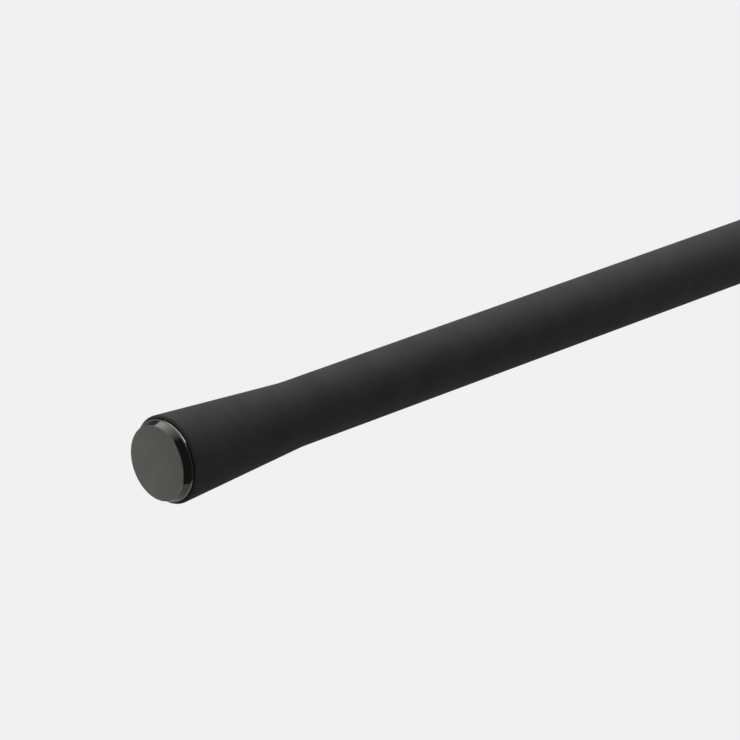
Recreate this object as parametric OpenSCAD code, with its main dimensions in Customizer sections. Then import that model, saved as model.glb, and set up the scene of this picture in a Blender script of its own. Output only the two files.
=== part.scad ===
// A two-piece carp rod: a full-length foam handle with a turned metal butt cap and a screw
// reel seat, a spigot joint, and six line guides and a tip ring whipped along the blank.
// The origin is the middle of the butt cap's face. +X runs to the tip, and the reel and the
// guides hang below the blank, towards -Z.

/* [Rod] */
// Overall length, from the butt cap's face to the end of the tip ring's tube
rod_length = 3658; // [3300:1:3960]
// Outer diameter of the blank at the butt
blank_butt_d = 15.5; // [14.8:0.1:16.4]
// Outer diameter of the blank at the spigot joint
blank_joint_d = 10.8; // [10:0.1:12]
// Outer diameter of the blank at the tip
blank_tip_d = 2.4; // [2:0.1:3]
// Wall of the blank at the butt
butt_wall = 1.3; // [1:0.1:1.8]
// Wall of the blank at the spigot joint
joint_wall = 1.1; // [0.9:0.05:1.4]
// Wall of the blank at the tip
tip_wall = 0.7; // [0.5:0.05:0.8]

/* [Spigot joint] */
// Gap left between the two sections, which lets the joint wear in
joint_gap = 5; // [2:0.5:10]
// Length of spigot glued into the butt section
spigot_root = 80; // [50:1:120]
// Length of spigot that enters the tip section
spigot_reach = 90; // [60:1:120]
// Radial clearance between the spigot and its socket
spigot_clearance = 0.03; // [0.02:0.01:0.08]
// Depth of the socket past the end of the spigot
socket_spare = 6; // [2:1:20]
// Length of the whippings that hoop both ends of the joint
joint_whipping_length = 28; // [15:1:50]

/* [Butt cap] */
// Diameter of the cap's flat face
cap_face_d = 28.9; // [27:0.1:29.6]
// Diameter where the cap's polished bevel ends
cap_bevel_d = 30.8; // [30:0.1:31.2]
// Depth of the polished bevel
cap_bevel_depth = 3.35; // [2:0.05:5]
// Diameter of the raised lip behind the bevel
cap_lip_d = 32; // [31.6:0.1:33]
// Thickness of the raised lip
cap_lip_thickness = 0.6; // [0.4:0.05:1.5]
// Width of the shadow groove between the lip and the foam
cap_groove_width = 0.35; // [0.2:0.05:1]
// Depth of the shadow groove
cap_groove_depth = 1.4; // [0.5:0.1:3]
// Length of the stem that plugs the blank
cap_stem_length = 24; // [10:1:40]

/* [Handle] */
// Diameter of the foam grips
grip_d = 26; // [25.4:0.2:29]
// Diameter of the rear grip at the butt
flare_d = 34.6; // [33.5:0.1:38]
// Length of the flare
flare_length = 64; // [40:1:120]
// Radius that blends the flare into the grip
flare_blend_r = 220; // [60:5:400]
// Radius on the foam's edge at the butt
foam_edge_r = 1.1; // [0.4:0.1:1.2]
// Length of the rear grip
rear_grip_length = 556; // [400:1:650]
// Length of the fore grip
fore_grip_length = 150; // [90:1:220]
// Diameter of the fore grip at its front end
fore_grip_front_d = 22; // [19:0.5:24]
// Length of the collar behind the reel seat
rear_collar_length = 7; // [4:0.5:12]
// Length of the winding check in front of the fore grip
fore_collar_length = 6; // [4:0.5:12]
// Length of the whipping in front of the winding check
fore_whipping_length = 24; // [12:1:60]

/* [Reel seat] */
// Length of the seat body
seat_length = 127; // [122:1:150]
// Bore of the seat body
seat_bore_d = 18; // [17.2:0.1:18.4]
// Diameter of the seat's barrel, over the thread
barrel_d = 21.6; // [21:0.1:21.8]
// Length of the threaded part of the barrel, up to its relief groove
thread_length = 54; // [50:1:60]
// Width of the relief groove at the thread's end
relief_width = 2; // [1:0.5:4]
// Depth of the relief groove
relief_depth = 0.6; // [0.3:0.1:0.9]
// Depth of the flat that the reel's foot lies on
saddle_depth = 1; // [0.6:0.1:1.2]
// Width of the keyway that keeps the moving hood from turning
keyway_width = 3; // [2:0.1:4]
// Depth of the keyway
keyway_depth = 1; // [0.6:0.1:1.2]
// Diameter inside the hoods' pockets
pocket_d = 26.4; // [26:0.1:27]
// How far the pockets' axis lies below the rod's axis
pocket_drop = 2.6; // [2.3:0.1:3]
// Depth of the pockets
pocket_depth = 14; // [10:0.5:16]
// Wall of the hoods at the pockets
hood_wall = 1.7; // [1.2:0.1:2]
// Length of the fixed hood, from its mouth to the fore grip
fixed_hood_length = 27; // [24:0.5:34]
// Length of the moving hood, from its mouth to the lock nut's thread
moving_hood_length = 24; // [22:0.5:30]
// Thickness of the metal sleeves over the hoods
sleeve_thickness = 0.5; // [0.3:0.05:0.8]
// Length of the metal sleeves over the hoods
sleeve_length = 11; // [6:0.5:13]
// Thickness of the rubber liners in the pockets
liner_thickness = 0.8; // [0.5:0.1:1.2]
// Number of glued bushes between the seat and the blank
bush_count = 3; // [2:1:4]
// Length of each bush
bush_length = 22; // [10:1:28]

/* [Lock nut] */
// Outer diameter of the lock nut
nut_d = 27; // [26.4:0.1:28.5]
// Length of the lock nut's thread
nut_length = 19; // [15:0.5:24]
// Number of finger flutes round the nut
flute_count = 20; // [12:1:26]
// Diameter of the cutter that makes the flutes
flute_d = 3; // [2:0.1:4]
// Depth of the flutes
flute_depth = 0.5; // [0.3:0.05:0.7]
// Thickness of the metal ring let into the nut's rear end
nut_ring_length = 2.6; // [1.5:0.1:4]
// Running clearance between the barrel and the pieces that travel on it
barrel_clearance = 0.05; // [0.03:0.01:0.1]
// Gap between the nut and the hood that it pulls along
snap_gap = 0.2; // [0.1:0.05:0.3]

/* [Line clip] */
// Distance from the winding check's whipping to the line clip
clip_offset = 60; // [20:1:200]
// Length of the line clip
clip_length = 24; // [16:1:40]
// Width of the line clip
clip_width = 3; // [2:0.1:4]
// Thickness of the clip's spring strip
clip_thickness = 0.45; // [0.3:0.05:0.6]
// Height that the clip's free end springs clear of the blank
clip_lift = 1.1; // [0.6:0.1:2]

/* [Guides] */
// Ring size of each guide, from the butt to the tip
guide_sizes = [50, 40, 30, 20, 16, 12]; // [11:1:54]
// Ring size of the tip ring
tip_ring_size = 12; // [11:1:16]
// Distance from the rod's end to the first guide
guide_first_gap = 125; // [100:1:140]
// Growth of each distance over the last one towards the butt
guide_gap_growth = 1.42; // [1.38:0.01:1.44]
// How many guides, counted from the butt, stand on two feet
two_foot_guides = 3; // [0:1:6]
// Radial wall of the smallest ceramic ring
small_ring_wall = 2.1; // [1.6:0.1:2.4]
// Radial wall of the largest ceramic ring
large_ring_wall = 3.9; // [3:0.1:5]
// Thickness of the smallest ceramic ring along the rod
small_ring_thickness = 2.4; // [2:0.1:3]
// Thickness of the largest ceramic ring along the rod
large_ring_thickness = 4; // [3.2:0.1:5]
// Wall of the steel band round the smallest ceramic ring
small_band_wall = 0.9; // [0.9:0.05:1.2]
// Wall of the steel band round the largest ceramic ring
large_band_wall = 1.3; // [1.2:0.05:1.8]
// Gap between the blank and the band of the smallest guide
small_stand_off = 4; // [3:0.1:6]
// Gap between the blank and the band of the largest guide
large_stand_off = 16; // [12:0.5:22]
// Width of the legs of the smallest guide
small_leg_width = 1.4; // [1:0.1:1.8]
// Width of the legs of the largest guide
large_leg_width = 3.4; // [2.4:0.1:4.5]
// Thickness of the legs of the smallest guide
small_leg_thickness = 0.7; // [0.6:0.05:0.75]
// Thickness of the legs of the largest guide
large_leg_thickness = 1; // [0.8:0.05:1.05]
// Length of the feet of the smallest guide
small_foot_length = 10; // [8:0.5:14]
// Length of the feet of the largest guide
large_foot_length = 21; // [16:0.5:28]
// Thickness of the feet of the smallest guide at their root
small_foot_thickness = 0.9; // [0.7:0.05:1.2]
// Thickness of the feet of the largest guide at their root
large_foot_thickness = 1.6; // [1.2:0.05:2.2]
// Width of the feet of the smallest guide
small_foot_width = 1.8; // [1.4:0.1:2.4]
// Width of the feet of the largest guide
large_foot_width = 4; // [3:0.1:5.5]
// Radial thickness of the thread and epoxy of a whipping
whipping_thickness = 0.4; // [0.3:0.05:0.6]

/* [Hidden] */
$fn = 72;
corner_steps = 6;
through = 1;

foam = "#262626";
gunmetal = "#55564f";
carbon = "#1b1c1e";
nylon = "#1f1f20";
rubber = "#141414";
steel = "#8d8f90";
ceramic = "#3a3c42";
thread_and_epoxy = "#17181b";

glue_gap = 0.1;
cap_lip_rise = 0.15;
cap_lip_start = cap_bevel_depth + cap_lip_rise;
cap_lip_end = cap_lip_start + cap_lip_thickness;
cap_seat = cap_lip_end + cap_groove_width;
cap_edge_r = 0.15;
cap_stem_nose_r = 1;
edge_r = 0.3;
cap_stem_d = blank_butt_d - 2 * butt_wall - 3 * glue_gap;

joint_middle = rod_length / 2;
butt_blank_end = joint_middle - joint_gap / 2;
tip_blank_start = joint_middle + joint_gap / 2;
spigot_d = blank_joint_d - 2 * joint_wall;
spigot_start = butt_blank_end - spigot_root;
spigot_end = tip_blank_start + spigot_reach;
spigot_nose_r = 1;
socket_end = spigot_end + socket_spare;

tip_cap_thickness = 1;
tip_tube_length = 14;
tip_tube_wall = 0.45;
tip_tube_start = rod_length - tip_tube_length;
tip_blank_end = rod_length - tip_cap_thickness;
tip_plug_length = 8;
tip_whipping_length = 8;
tip_tube_r = blank_tip_d / 2 + tip_tube_wall + glue_gap;
tip_ring_station = rod_length - 0.4 * small_ring_thickness;
tip_ring_drop = tip_tube_r + tip_ring_size / 2 + small_band_wall / 2;

rear_grip_end = cap_seat + rear_grip_length;
seat_start = rear_grip_end + rear_collar_length;
seat_end = seat_start + seat_length;
fore_grip_end = seat_end + fore_grip_length;
fore_collar_end = fore_grip_end + fore_collar_length;
fore_whipping_end = fore_collar_end + fore_whipping_length;
rear_collar_waist = 0.6;
rear_collar_step = 0.8;
fore_collar_inset = 2;
fore_collar_rise = 0.3;

barrel_r = barrel_d / 2;
running_r = barrel_r + barrel_clearance;
saddle_z = saddle_depth - barrel_r;
pocket_r = pocket_d / 2;
hood_r = pocket_r + hood_wall;
hood_lip_r = 0.6;
hood_end_rim = 0.1;
hood_blend_r = hood_r - 0.1;
fixed_hood_floor = 2;
moving_hood_floor = 1;
fixed_mouth = seat_end - fixed_hood_length;
fixed_shoulder = fixed_mouth + pocket_depth + fixed_hood_floor;
liner_lap = 1.8;
sleeve_set_back = 0.8;
sleeve_glue_gap = 0.03;
key_clearance = 0.2;

nut_rest_gap = 0.5;
nut_ring_seat_r = nut_d / 2 - 1;
nut_ring_rise = 0.2;
nut_edge_r = 0.5;
nut_start = seat_start + nut_rest_gap;
moving_hood_start = nut_start + nut_length + snap_gap;
moving_mouth = moving_hood_start + moving_hood_length;
rim_height = 1.3;
rim_catch = 0.5;
rim_r = running_r + rim_height;
neck_r = rim_r - rim_catch;
rim_length = 1.5;
neck_length = 1.9;
hood_rear = moving_hood_start + rim_length + neck_length;
moving_shoulder = moving_mouth - pocket_depth - moving_hood_floor;
hood_rear_r = grip_d / 2;
nut_end = hood_rear - snap_gap;

clip_start = fore_whipping_end + clip_offset;
clip_wrap_past = 3;
clip_sunk = 0.5;
clip_climb = clip_length / 5;
clip_tail = clip_length / 12;

smallest_ring = min(guide_sizes);
largest_ring = max(guide_sizes);
guide_count = len(guide_sizes);
front_lean = 1.5;
rear_lean = 0.8;
leg_narrowing = 0.6;
band_cover = 0.75;
foot_sunk = 0.7;
foot_toe_thickness = 0.35;
whipping_leg_gap = 0.8;
whipping_past_foot = 3;
blend_steps = 48;

// The value that lies a share of the way from a to b
function between(a, b, share) = a + (b - a) * share;

function unit(v) = v / norm(v);

// The points that round one corner [x, y, radius] between the corners before and after it
function round_corner(before, at, after) =
    at[2] == 0 ? [[at.x, at.y]] :
    let (
        here = [at.x, at.y],
        u = unit([before.x, before.y] - here),
        v = unit([after.x, after.y] - here),
        half = acos(u * v) / 2,
        centre = here + unit(u + v) * at[2] / sin(half),
        first = here + u * at[2] / tan(half) - centre,
        last = here + v * at[2] / tan(half) - centre,
        start = atan2(first.y, first.x),
        sweep = (atan2(last.y, last.x) - start + 360 + 180) % 360 - 180
    )
    [for (k = [0:corner_steps])
        let (a = start + sweep * k / corner_steps)
        centre + at[2] * [cos(a), sin(a)]];

// A closed outline in which each corner [x, y, radius] is rounded
function rounded(corners) =
    let (n = len(corners))
    [for (i = [0:n - 1])
        each round_corner(corners[(i + n - 1) % n], corners[i], corners[(i + 1) % n])];

// Outer radius of the butt section's blank, x from the butt
function butt_r(x) =
    between(blank_butt_d, blank_joint_d, (x - cap_seat) / (butt_blank_end - cap_seat)) / 2;

// Outer radius of the tip section's blank, x from the butt
function tip_r(x) =
    between(
        blank_joint_d, blank_tip_d, (x - tip_blank_start) / (tip_blank_end - tip_blank_start)
    ) / 2;

function blank_r(x) = x < joint_middle ? butt_r(x) : tip_r(x);

// A solid of revolution about the rod's axis, from an outline of [place along the rod, radius]
module turned(outline) {
    rotate([0, 90, 0])
        rotate_extrude()
            polygon([for (p = outline) [p[1], p[0]]]);
}

// A straight or tapered round bar along the rod
module bar(start, end, r1, r2) {
    translate([start, 0, 0])
        rotate([0, 90, 0])
            cylinder(h = end - start, r1 = r1, r2 = r2);
}

// The blank's outer shape from start to end, to fit pieces over it
module butt_core(start, end) {
    bar(start, end, butt_r(start), butt_r(end));
}

module tip_core(start, end) {
    bar(start, end, tip_r(start), tip_r(end));
}

module core(start, end) {
    if (end < joint_middle)
        butt_core(start, end);
    else
        tip_core(start, end);
}

// A thread whipping sealed in epoxy that runs out to a thin edge at both ends, as a full bar.
// r1 and r2 are its outer radii at start and end.
module whipping_sleeve(start, end, r1, r2) {
    taper = 4 * whipping_thickness;
    edge = 0.8 * whipping_thickness;
    turned(rounded([
        [start, 0, 0],
        [start, r1 - edge, 0],
        [start + taper, r1, 3 * taper],
        [end - taper, r2, 3 * taper],
        [end, r2 - edge, 0],
        [end, 0, 0]
    ]));
}

module whipping(start, end) {
    color(thread_and_epoxy)
        difference() {
            whipping_sleeve(
                start, end, blank_r(start) + whipping_thickness, blank_r(end) + whipping_thickness
            );
            core(start - through, end + through);
        }
}

// The turned metal cap: face, polished bevel, raised lip, shadow groove and glued stem
module butt_cap() {
    color(gunmetal)
        turned(rounded([
            [0, 0, 0],
            [0, cap_face_d / 2, cap_edge_r],
            [cap_bevel_depth, cap_bevel_d / 2, 0],
            [cap_lip_start, cap_lip_d / 2, cap_edge_r],
            [cap_lip_end, cap_lip_d / 2, cap_edge_r],
            [cap_lip_end, cap_lip_d / 2 - cap_groove_depth, 0],
            [cap_seat, cap_lip_d / 2 - cap_groove_depth, 0],
            [cap_seat, cap_stem_d / 2, 0],
            [cap_seat + cap_stem_length, cap_stem_d / 2, cap_stem_nose_r],
            [cap_seat + cap_stem_length, 0, 0]
        ]));
}

module rear_grip() {
    color(foam)
        difference() {
            turned(rounded([
                [cap_seat, 0, 0],
                [cap_seat, flare_d / 2, foam_edge_r],
                [cap_seat + flare_length, grip_d / 2, flare_blend_r],
                [rear_grip_end, grip_d / 2, foam_edge_r / 2],
                [rear_grip_end, 0, 0]
            ]));
            butt_core(cap_seat - through, rear_grip_end + through);
        }
}

module rear_collar() {
    waist_r = grip_d / 2 - rear_collar_waist;
    rim_end = between(rear_grip_end, seat_start, 0.33);
    waist_start = between(rear_grip_end, seat_start, 0.47);
    waist_end = between(rear_grip_end, seat_start, 0.77);
    color(gunmetal)
        difference() {
            turned(rounded([
                [rear_grip_end, 0, 0],
                [rear_grip_end, grip_d / 2, edge_r],
                [rim_end, grip_d / 2, edge_r],
                [waist_start, waist_r, edge_r],
                [waist_end, waist_r, edge_r],
                [seat_start, barrel_r + rear_collar_step, 0],
                [seat_start, 0, 0]
            ]));
            butt_core(rear_grip_end - through, seat_start + through);
        }
}

// A round bar on the pockets' axis
module pocket_bar(start, end, r) {
    translate([0, 0, -pocket_drop])
        bar(start, end, r, r);
}

// A thin disc on the pockets' axis between a and b, whichever comes first
module pocket_rim(a, b, r) {
    pocket_bar(min(a, b), max(a, b), r, $fn = blend_steps);
}

// The outside of a hood: a bell on the pocket's axis that blends into a round end.
// Its mouth is at mouth, and the blend runs from just inside the bell's shoulder to far.
module hood_outside(mouth, shoulder, far, far_r) {
    side = sign(mouth - far);
    translate([0, 0, -pocket_drop])
        turned(rounded([
            [shoulder, 0, 0],
            [shoulder, hood_r, 0],
            [mouth, hood_r, hood_lip_r],
            [mouth, 0, 0]
        ]));
    hull() {
        pocket_rim(shoulder + side * hood_end_rim, shoulder - side * hood_end_rim, hood_blend_r);
        translate([0, 0, pocket_drop])
            pocket_rim(far, far + side * hood_end_rim, far_r);
    }
}

// The metal sleeve glued over a hood behind its mouth
module hood_sleeve(start, end) {
    bore_r = hood_r + sleeve_glue_gap;
    color(gunmetal)
        translate([0, 0, -pocket_drop])
            difference() {
                turned(rounded([
                    [start, 0, 0],
                    [start, hood_r + sleeve_thickness, sleeve_thickness / 2],
                    [end, hood_r + sleeve_thickness, sleeve_thickness / 2],
                    [end, 0, 0]
                ]));
                bar(start - through, end + through, bore_r, bore_r);
            }
}

// The rubber pad that lines the floor of a pocket
module hood_liner(start, end) {
    pad_top = saddle_z - liner_lap;
    color(rubber)
        intersection() {
            difference() {
                pocket_bar(start, end, pocket_r);
                pocket_bar(start - through, end + through, pocket_r - liner_thickness);
            }
            translate([start - through, -pocket_r, -pocket_d])
                cube([end - start + 2 * through, pocket_d, pocket_d + pad_top]);
        }
}

// The barrel with the groove that ends its thread, the flat for the reel's foot and the keyway
// on the other side
module barrel() {
    thread_end = seat_start + thread_length;
    floor_r = barrel_r - relief_depth;
    flat_length = fixed_mouth + pocket_depth - seat_start;
    difference() {
        turned([
            [seat_start, 0],
            [seat_start, barrel_r],
            [thread_end, barrel_r],
            [thread_end, floor_r],
            [thread_end + relief_width, floor_r],
            [thread_end + relief_width, barrel_r],
            [seat_end, barrel_r],
            [seat_end, 0]
        ]);
        translate([seat_start - through, -barrel_r, -barrel_d])
            cube([flat_length + through, barrel_d, barrel_d + saddle_z]);
        translate([seat_start - through, -keyway_width / 2, barrel_r - keyway_depth])
            cube([fixed_mouth - seat_start + through, keyway_width, keyway_depth + through]);
    }
}

module seat_body() {
    color(nylon)
        difference() {
            union() {
                barrel();
                difference() {
                    hood_outside(fixed_mouth, fixed_shoulder, seat_end, grip_d / 2);
                    pocket_bar(fixed_mouth - through, fixed_mouth + pocket_depth, pocket_r);
                }
            }
            bar(seat_start - through, seat_end + through, seat_bore_d / 2, seat_bore_d / 2);
        }
}

module fixed_hood_sleeve() {
    hood_sleeve(fixed_mouth + sleeve_set_back, fixed_mouth + sleeve_set_back + sleeve_length);
}

module fixed_hood_liner() {
    hood_liner(fixed_mouth, fixed_mouth + pocket_depth);
}

// Bushes that fill the space between the blank and the seat's bore
module seat_bushes() {
    pitch = (seat_length - bush_length) / (bush_count - 1);
    color(rubber)
        for (i = [0:bush_count - 1])
            let (start = seat_start + i * pitch, end = start + bush_length)
            difference() {
                bar(start, end, seat_bore_d / 2, seat_bore_d / 2);
                butt_core(start - through, end + through);
            }
}

// The hood that travels: pocket in front, snap rim behind, and a key that runs in the keyway
module moving_hood() {
    key_z = barrel_r - keyway_depth + key_clearance;
    color(nylon) {
        difference() {
            union() {
                turned([
                    [moving_hood_start, 0],
                    [moving_hood_start, rim_r],
                    [moving_hood_start + rim_length, rim_r],
                    [moving_hood_start + rim_length, neck_r],
                    [hood_rear + hood_end_rim, neck_r],
                    [hood_rear + hood_end_rim, 0]
                ]);
                hood_outside(moving_mouth, moving_shoulder, hood_rear, hood_rear_r);
            }
            bar(moving_hood_start - through, moving_mouth + through, running_r, running_r);
            pocket_bar(moving_mouth - pocket_depth, moving_mouth + through, pocket_r);
        }
        translate([moving_hood_start, key_clearance - keyway_width / 2, key_z])
            cube([
                moving_shoulder - moving_hood_start,
                keyway_width - 2 * key_clearance,
                (running_r + rim_r) / 2 - key_z
            ]);
    }
}

module moving_hood_sleeve() {
    hood_sleeve(moving_mouth - sleeve_set_back - sleeve_length, moving_mouth - sleeve_set_back);
}

module moving_hood_liner() {
    hood_liner(moving_mouth - pocket_depth, moving_mouth);
}

// The nut: threaded bore behind, and a lip in front that snaps over the hood's rim
module lock_nut() {
    flute_margin = 2;
    flute_start = nut_start + nut_ring_length + flute_margin;
    color(nylon)
        difference() {
            turned(rounded([
                [nut_start, 0, 0],
                [nut_start, nut_ring_seat_r, 0],
                [nut_start + nut_ring_length, nut_ring_seat_r, 0],
                [nut_start + nut_ring_length, nut_d / 2, edge_r],
                [nut_end, nut_d / 2, nut_edge_r],
                [nut_end, 0, 0]
            ]));
            bar(nut_start - through, nut_end, running_r, running_r);
            turned([
                [nut_start + nut_length, 0],
                [nut_start + nut_length, rim_r + snap_gap],
                [moving_hood_start + rim_length + snap_gap, rim_r + snap_gap],
                [moving_hood_start + rim_length + snap_gap, neck_r + snap_gap],
                [nut_end + through, neck_r + snap_gap],
                [nut_end + through, 0]
            ]);
            for (i = [0:flute_count - 1])
                rotate([i * 360 / flute_count, 0, 0])
                    translate([0, 0, nut_d / 2 + flute_d / 2 - flute_depth])
                        bar(flute_start, nut_end - flute_margin, flute_d / 2, flute_d / 2, $fn = 24);
        }
}

module lock_nut_ring() {
    ring_r = nut_d / 2 + nut_ring_rise;
    end = nut_start + nut_ring_length;
    color(gunmetal)
        difference() {
            turned(rounded([
                [nut_start, 0, 0],
                [nut_start, ring_r, nut_edge_r],
                [end, ring_r, edge_r],
                [end, 0, 0]
            ]));
            bar(nut_start - through, end + through, nut_ring_seat_r, nut_ring_seat_r);
        }
}

module fore_grip() {
    shoulder = seat_end + fore_grip_length / 3;
    color(foam)
        difference() {
            turned(rounded([
                [seat_end, 0, 0],
                [seat_end, grip_d / 2, foam_edge_r / 2],
                [shoulder, grip_d / 2, flare_blend_r],
                [fore_grip_end, fore_grip_front_d / 2, 3 * foam_edge_r],
                [fore_grip_end, 0, 0]
            ]));
            butt_core(seat_end - through, fore_grip_end + through);
        }
}

// The tapered ring that finishes the fore grip against the blank
module fore_collar() {
    base_r = fore_grip_front_d / 2 - fore_collar_inset;
    nose_r = butt_r(fore_collar_end) + whipping_thickness + fore_collar_rise;
    color(gunmetal)
        difference() {
            turned(rounded([
                [fore_grip_end, 0, 0],
                [fore_grip_end, base_r, edge_r],
                [fore_grip_end + fore_collar_length / 3, base_r, 2 * edge_r],
                [fore_collar_end, nose_r, edge_r / 2],
                [fore_collar_end, 0, 0]
            ]));
            butt_core(fore_grip_end - through, fore_collar_end + through);
        }
}

module fore_whipping() {
    whipping(fore_collar_end, fore_whipping_end);
}

// The butt section: a tapered tube, bored parallel at its front end for the spigot
module butt_blank() {
    color(carbon)
        difference() {
            butt_core(cap_seat, butt_blank_end);
            bar(cap_seat - through, spigot_start, blank_butt_d / 2 - butt_wall, spigot_d / 2);
            bar(spigot_start - through, butt_blank_end + through, spigot_d / 2, spigot_d / 2);
        }
}

module spigot() {
    color(carbon)
        turned(rounded([
            [spigot_start, 0, 0],
            [spigot_start, spigot_d / 2, 0],
            [spigot_end, spigot_d / 2, spigot_nose_r],
            [spigot_end, 0, 0]
        ]));
}

// The tip section: a parallel socket for the spigot, then a tapered bore to near the tip
module tip_blank() {
    socket_r = spigot_d / 2 + spigot_clearance;
    bore_end = tip_blank_end - tip_plug_length;
    bore_start_r = tip_r(socket_end) - joint_wall;
    bore_end_r = tip_r(bore_end) - tip_wall;
    color(carbon)
        difference() {
            tip_core(tip_blank_start, tip_blank_end);
            bar(tip_blank_start - through, socket_end, socket_r, socket_r);
            bar(socket_end - through, bore_end, bore_start_r, bore_end_r);
        }
}

module butt_joint_whipping() {
    whipping(butt_blank_end - joint_whipping_length, butt_blank_end);
}

module tip_joint_whipping() {
    whipping(tip_blank_start, tip_blank_start + joint_whipping_length);
}

// A sprung strip that traps the line against the blank, before the blank is cut out of its
// root. The lift is in shares of clip_lift, and the tail turns up past it.
module clip_strip() {
    half = clip_length / 2;
    top = half + clip_climb;
    reach = [0, half, half + clip_climb / 2, top, clip_length - clip_tail, clip_length];
    lift = [0, 0, 0.6, 1, 1, 1.8];
    extra = [clip_sunk, clip_sunk, 0, 0, 0, 0];
    lower = [for (k = [0:5]) [reach[k], lift[k] * clip_lift]];
    upper = [for (k = [5:-1:0]) lower[k] + [0, clip_thickness + extra[k]]];
    translate([clip_start, 0, clip_sunk - butt_r(clip_start)])
        rotate([-90, 0, 0])
            linear_extrude(clip_width, center = true)
                polygon(concat(lower, upper));
}

// The clip, which is whipped down over its rear half
module line_clip() {
    color(steel)
        difference() {
            clip_strip();
            butt_core(clip_start - through, clip_start + clip_length + through);
        }
}

module line_clip_whipping() {
    start = clip_start - clip_wrap_past;
    end = clip_start + clip_length / 2;
    lowered = clip_thickness / 2;
    wrap = lowered + whipping_thickness;
    color(thread_and_epoxy)
        difference() {
            translate([0, 0, -lowered])
                whipping_sleeve(start, end, butt_r(start) + wrap, butt_r(end) + wrap);
            butt_core(start - through, end + through);
            clip_strip();
        }
}

// Where guide i stands: the gaps from the tip grow by the same factor each time
function guide_station(i) =
    rod_length - guide_first_gap
    * (pow(guide_gap_growth, guide_count - i + 1) - 1) / (guide_gap_growth - 1);

function guide_size(i) = guide_sizes[i - 1];

// 0 for the smallest guide and 1 for the largest
function size_share(size) = (size - smallest_ring) / max(1, largest_ring - smallest_ring);
function ring_wall(size) = between(small_ring_wall, large_ring_wall, size_share(size));
function band_wall(size) = between(small_band_wall, large_band_wall, size_share(size));
function band_r(size) = size / 2 + band_wall(size);
function ring_thickness(size) =
    between(small_ring_thickness, large_ring_thickness, size_share(size));
function stand_off(size) = between(small_stand_off, large_stand_off, size_share(size));
function leg_width(size) = between(small_leg_width, large_leg_width, size_share(size));
function leg_thickness(size) = between(small_leg_thickness, large_leg_thickness, size_share(size));
function foot_length(size) = between(small_foot_length, large_foot_length, size_share(size));
function foot_thickness(size) =
    between(small_foot_thickness, large_foot_thickness, size_share(size));
function foot_width(size) = between(small_foot_width, large_foot_width, size_share(size));
function front_reach(size) = front_lean * stand_off(size) + leg_thickness(size);
function rear_reach(size) = rear_lean * stand_off(size);

// Depth of a guide's ring centre below the rod's axis
function ring_drop(i) =
    blank_r(guide_station(i)) + stand_off(guide_size(i)) + band_r(guide_size(i));

// A stamped strip that widens from one point to another, with its width across the rod
module leg(from, to, from_width, to_width, thickness) {
    way = to - from;
    length = norm(way);
    translate(from)
        rotate([0, acos(way.z / length), atan2(way.y, way.x)])
            rotate([90, 0, 90])
                linear_extrude(thickness, center = true)
                    polygon([
                        [-from_width / 2, 0],
                        [from_width / 2, 0],
                        [to_width / 2, length],
                        [-to_width / 2, length]
                    ]);
}

// The steel band round a ceramic ring, as a full disc
module band_disc(size) {
    width = band_cover * ring_thickness(size);
    turned(rounded([
        [-width / 2, 0, 0],
        [-width / 2, band_r(size), band_wall(size) / 2],
        [width / 2, band_r(size), band_wall(size) / 2],
        [width / 2, 0, 0]
    ]));
}

// The ceramic ring, fully rounded inside where the line runs and flat in its band
module ring_insert(size) {
    wall = ring_wall(size);
    soft_r = ring_thickness(size) / 2;
    inner_r = size / 2 - wall;
    color(ceramic)
        rotate([0, 90, 0])
            rotate_extrude()
                intersection() {
                    translate([inner_r, -soft_r])
                        square([wall, 2 * soft_r]);
                    union() {
                        translate([inner_r + soft_r, 0])
                            circle(r = soft_r, $fn = 48);
                        translate([inner_r + soft_r, -band_cover * soft_r])
                            square([wall, 2 * band_cover * soft_r]);
                    }
                }
}

// A ground foot that lies on the blank, thick at its root and thin at its end
module foot(root, end, size, blank_at) {
    ramp_start = between(root, end, 0.25);
    translate([0, 0, foot_sunk - blank_at])
        rotate([-90, 0, 0])
            linear_extrude(foot_width(size), center = true)
                polygon([
                    [root, 0],
                    [end, 0],
                    [end, foot_sunk + foot_toe_thickness],
                    [ramp_start, foot_sunk + foot_thickness(size)],
                    [root, foot_sunk + foot_thickness(size)]
                ]);
}

// The feet of guide i, before the blank is cut out of them
module guide_feet(i) {
    size = guide_size(i);
    station = guide_station(i);
    front = station + front_reach(size);
    rear = station - rear_reach(size);
    foot(front, front + foot_length(size), size, blank_r(front));
    if (i <= two_foot_guides)
        foot(rear, rear - foot_length(size), size, blank_r(rear));
}

module guide_frame(i) {
    size = guide_size(i);
    station = guide_station(i);
    front = station + front_reach(size);
    rear = station - rear_reach(size);
    drop = ring_drop(i);
    join_r = (size + band_wall(size)) / 2;
    lap = foot_thickness(size) / 2;
    front_z = -blank_r(front) - lap;
    rear_z = -blank_r(rear) - lap;
    splay = acos(join_r / (drop + front_z));
    thickness = leg_thickness(size);
    wide = leg_width(size);
    narrow = leg_narrowing * wide;
    inset = thickness / 2;
    color(steel)
        difference() {
            union() {
                translate([station, 0, -drop])
                    band_disc(size);
                guide_feet(i);
                for (side = [-1, 1])
                    leg(
                        [station, side * join_r * sin(splay), join_r * cos(splay) - drop],
                        [front + inset, side * foot_width(size) / 8, front_z],
                        narrow,
                        wide,
                        thickness
                    );
                if (i <= two_foot_guides)
                    leg(
                        [station, 0, join_r - drop],
                        [rear - inset, 0, rear_z],
                        wide,
                        wide,
                        thickness
                    );
            }
            translate([0, 0, -drop])
                bar(station - size / 4, station + size / 4, size / 2, size / 2);
            core(rear - foot_length(size) - through, front + foot_length(size) + through);
        }
}

module guide_ring(i) {
    translate([guide_station(i), 0, -ring_drop(i)])
        ring_insert(guide_size(i));
}

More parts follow.
